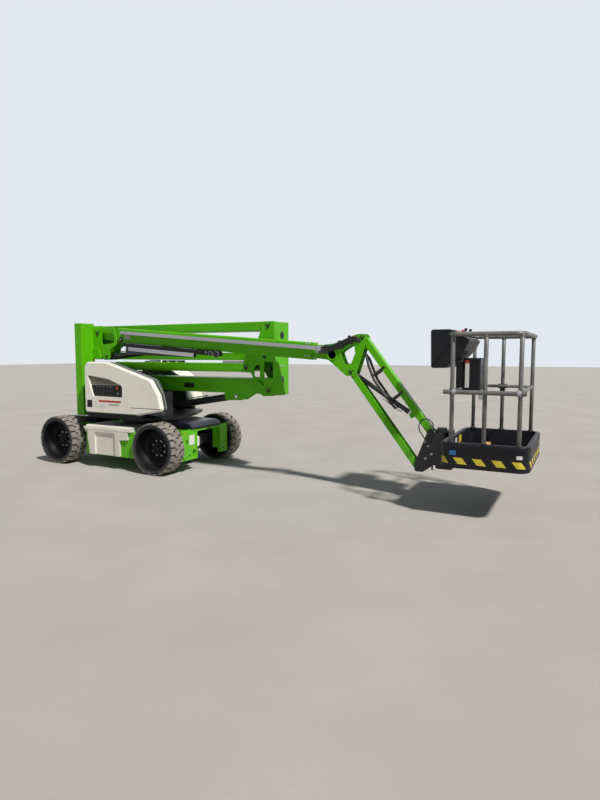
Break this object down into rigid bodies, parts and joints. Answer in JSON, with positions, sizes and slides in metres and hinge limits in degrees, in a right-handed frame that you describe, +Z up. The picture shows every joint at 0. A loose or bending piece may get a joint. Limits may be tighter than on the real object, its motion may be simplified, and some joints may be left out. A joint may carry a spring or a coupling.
{
  "type": "articulating boom lift",
  "caption": "Narrow wheeled lift with a two-stage riser, an offset telescopic boom, a jib and a railed work cage, stowed, on a steered chassis.",
  "frame": {"origin": "on the ground under the slewing axis, midway between the axles", "axes": "+X along the booms towards the cage, +Z up, the offset main boom on the -Y side"},
  "size_m": [6.2599, 1.6562, 1.885],
  "materials": {
    "green_paint": "gloss",
    "cream_moulding": "satin",
    "black_paint": "satin",
    "wheel_paint": "gloss",
    "tyre_rubber": "matte",
    "black_plastic": "satin",
    "grey_panel": "satin",
    "bright_steel": "polished",
    "plated_steel": "satin",
    "hose_rubber": "satin",
    "yellow_guard": "gloss"
  },
  "bodies": {
    "chassis": {"chassis_frame": "green_paint", "chassis_covers": "black_plastic", "battery_boxes": "cream_moulding", "slew_ring": "black_paint", "steer_axle": "black_paint", "drive_axle": "black_paint"},
    "carrier_near": {"steer_knuckle_near": "black_paint"},
    "carrier_far": {"steer_knuckle_far": "black_paint"},
    "wheel_drive_near": {"tyre_drive_near": "tyre_rubber", "rim_drive_near": "wheel_paint"},
    "wheel_drive_far": {"tyre_drive_far": "tyre_rubber", "rim_drive_far": "wheel_paint"},
    "wheel_steer_near": {"tyre_steer_near": "tyre_rubber", "rim_steer_near": "wheel_paint"},
    "wheel_steer_far": {"tyre_steer_far": "tyre_rubber", "rim_steer_far": "wheel_paint"},
    "turret": {"turret_base": "green_paint", "hood_bulkheads": "grey_panel", "power_pack": "black_paint"},
    "hood_near": {"hood_near": "cream_moulding"},
    "hood_far": {"hood_far": "cream_moulding"},
    "lower_boom": {"lower_boom": "green_paint"},
    "lower_tie": {"lower_tie": "green_paint"},
    "riser_knuckle": {"riser_knuckle": "green_paint"},
    "upper_boom": {"upper_boom": "green_paint"},
    "upper_tie": {"upper_tie": "green_paint"},
    "mast": {"mast": "green_paint"},
    "riser_barrel": {"riser_cylinder_barrel": "black_paint"},
    "riser_rod": {"riser_cylinder_rod": "bright_steel"},
    "main_boom": {"main_boom": "green_paint", "hose_tray": "black_plastic", "hose_chain": "black_plastic"},
    "boom_barrel": {"boom_cylinder_barrel": "black_paint"},
    "boom_rod": {"boom_cylinder_rod": "bright_steel"},
    "inner_boom": {"inner_boom": "green_paint", "jib_head": "green_paint", "boom_conduit": "plated_steel", "head_hoses": "hose_rubber"},
    "jib_upper": {"jib_upper_arm": "green_paint", "jib_hoses": "hose_rubber"},
    "jib_lower": {"jib_lower_arm": "green_paint"},
    "jib_barrel": {"jib_cylinder_barrel": "black_paint"},
    "jib_rod": {"jib_cylinder_rod": "bright_steel"},
    "cage_bracket": {"cage_bracket": "black_paint", "cage_hose": "hose_rubber"},
    "cage": {"cage_carrier": "black_paint", "cage_tray": "black_plastic", "cage_rails": "plated_steel", "console": "black_plastic", "tool_box": "black_plastic", "foot_switch": "yellow_guard"},
    "gate": {"cage_gate": "plated_steel"}
  },
  "joints": [
    {"name": "roll_drive_near", "type": "hinge", "parent": "chassis", "child": "wheel_drive_near", "pos_m": [0.84, -0.63, 0.32], "axis": [0, 1, 0], "continuous": true},
    {"name": "roll_drive_far", "type": "hinge", "parent": "chassis", "child": "wheel_drive_far", "pos_m": [0.84, 0.63, 0.32], "axis": [0, 1, 0], "continuous": true},
    {"name": "roll_steer_near", "type": "hinge", "parent": "carrier_near", "child": "wheel_steer_near", "pos_m": [-0.84, -0.63, 0.32], "axis": [0, 1, 0], "continuous": true},
    {"name": "roll_steer_far", "type": "hinge", "parent": "carrier_far", "child": "wheel_steer_far", "pos_m": [-0.84, 0.63, 0.32], "axis": [0, 1, 0], "continuous": true},
    {"name": "steer_near", "type": "hinge", "parent": "chassis", "child": "carrier_near", "pos_m": [-0.84, -0.455, 0.32], "axis": [0, 0, 1], "range_deg": [-30, 30]},
    {"name": "steer_far", "type": "hinge", "parent": "chassis", "child": "carrier_far", "pos_m": [-0.84, 0.455, 0.32], "axis": [0, 0, 1], "range_deg": [-30, 30]},
    {"name": "turret_slew", "type": "hinge", "parent": "chassis", "child": "turret", "pos_m": [0, 0, 0.65], "axis": [0, 0, 1], "range_deg": [-177.5, 177.5]},
    {"name": "hood_near_tilt", "type": "hinge", "parent": "turret", "child": "hood_near", "pos_m": [0, -0.72, 0.717], "axis": [1, 0, 0], "range_deg": [0, 70]},
    {"name": "hood_far_tilt", "type": "hinge", "parent": "turret", "child": "hood_far", "pos_m": [0, 0.72, 0.717], "axis": [-1, 0, 0], "range_deg": [0, 70]},
    {"name": "riser_lift", "type": "hinge", "parent": "turret", "child": "lower_boom", "pos_m": [-0.15, 0, 1.045], "axis": [0, -1, 0], "range_deg": [0, 62]},
    {"name": "lower_tie_swing", "type": "hinge", "parent": "turret", "child": "lower_tie", "pos_m": [-0.46, 0, 1.311], "axis": [0, -1, 0], "range_deg": [0, 62]},
    {"name": "knuckle_level", "type": "hinge", "parent": "lower_boom", "child": "riser_knuckle", "pos_m": [2.15, 0, 1.045], "axis": [0, 1, 0], "range_deg": [0, 62]},
    {"name": "upper_boom_swing", "type": "hinge", "parent": "riser_knuckle", "child": "upper_boom", "pos_m": [2.15, 0, 1.807], "axis": [0, 1, 0], "range_deg": [0, 62]},
    {"name": "upper_tie_swing", "type": "hinge", "parent": "riser_knuckle", "child": "upper_tie", "pos_m": [2.1, 0, 1.447], "axis": [0, 1, 0], "range_deg": [0, 62]},
    {"name": "mast_level", "type": "hinge", "parent": "upper_boom", "child": "mast", "pos_m": [-0.57, 0, 1.807], "axis": [0, -1, 0], "range_deg": [0, 62]},
    {"name": "riser_barrel_swing", "type": "hinge", "parent": "turret", "child": "riser_barrel", "pos_m": [0.3, 0, 0.747], "axis": [0, -1, 0], "range_deg": [0, 68]},
    {"name": "riser_rod_slide", "type": "slide", "parent": "riser_barrel", "child": "riser_rod", "axis": [0.9872, 0, 0.1593], "range_m": [0, 0.542]},
    {"name": "boom_lift", "type": "hinge", "parent": "mast", "child": "main_boom", "pos_m": [-0.42, -0.28, 1.752], "axis": [0, -1, 0], "range_deg": [0, 75]},
    {"name": "boom_barrel_swing", "type": "hinge", "parent": "mast", "child": "boom_barrel", "pos_m": [-0.26, -0.28, 1.436], "axis": [0, -1, 0], "range_deg": [0, 72]},
    {"name": "boom_rod_slide", "type": "slide", "parent": "boom_barrel", "child": "boom_rod", "axis": [0.9951, 0, 0.0985], "range_m": [0, 0.421]},
    {"name": "telescope", "type": "slide", "parent": "main_boom", "child": "inner_boom", "axis": [0.9972, 0, -0.0745], "range_m": [0, 1.2]},
    {"name": "jib_lift", "type": "hinge", "parent": "inner_boom", "child": "jib_upper", "pos_m": [3.39501, -0.28, 1.64676], "axis": [0, -1, 0], "range_deg": [0, 90]},
    {"name": "jib_lower_swing", "type": "hinge", "parent": "inner_boom", "child": "jib_lower", "pos_m": [3.27001, -0.28, 1.28176], "axis": [0, -1, 0], "range_deg": [0, 90]},
    {"name": "bracket_level", "type": "hinge", "parent": "jib_upper", "child": "cage_bracket", "pos_m": [4.12993, -0.28, 0.68552], "axis": [0, 1, 0], "range_deg": [0, 90]},
    {"name": "jib_barrel_swing", "type": "hinge", "parent": "inner_boom", "child": "jib_barrel", "pos_m": [3.27001, -0.28, 1.28176], "axis": [0, -1, 0], "range_deg": [0, 79]},
    {"name": "jib_rod_slide", "type": "slide", "parent": "jib_barrel", "child": "jib_rod", "axis": [0.8423, 0, -0.539], "range_m": [0, 0.5]},
    {"name": "cage_rotate", "type": "hinge", "parent": "cage_bracket", "child": "cage", "pos_m": [4.22993, -0.28, 0.5], "axis": [0, 0, 1], "range_deg": [-90, 90]},
    {"name": "gate_slide", "type": "slide", "parent": "cage", "child": "gate", "axis": [0, 0, 1], "range_m": [0, 0.3]}
  ],
  "couplings": [
    {"joint": "steer_far", "follows": "steer_near", "ratio": 1},
    {"joint": "lower_tie_swing", "follows": "riser_lift", "ratio": 1},
    {"joint": "knuckle_level", "follows": "riser_lift", "ratio": 1},
    {"joint": "upper_boom_swing", "follows": "riser_lift", "ratio": 1},
    {"joint": "upper_tie_swing", "follows": "riser_lift", "ratio": 1},
    {"joint": "mast_level", "follows": "riser_lift", "ratio": 1},
    {"joint": "riser_barrel_swing", "follows": "riser_lift", "ratio": 1.077},
    {"joint": "riser_rod_slide", "follows": "riser_lift", "m_per_rad": 0.49909},
    {"joint": "boom_barrel_swing", "follows": "boom_lift", "ratio": 0.93544},
    {"joint": "boom_rod_slide", "follows": "boom_lift", "m_per_rad": 0.32011},
    {"joint": "jib_lower_swing", "follows": "jib_lift", "ratio": 1},
    {"joint": "bracket_level", "follows": "jib_lift", "ratio": 1},
    {"joint": "jib_barrel_swing", "follows": "jib_lift", "ratio": 0.85807},
    {"joint": "jib_rod_slide", "follows": "jib_lift", "m_per_rad": 0.31702}
  ]
}
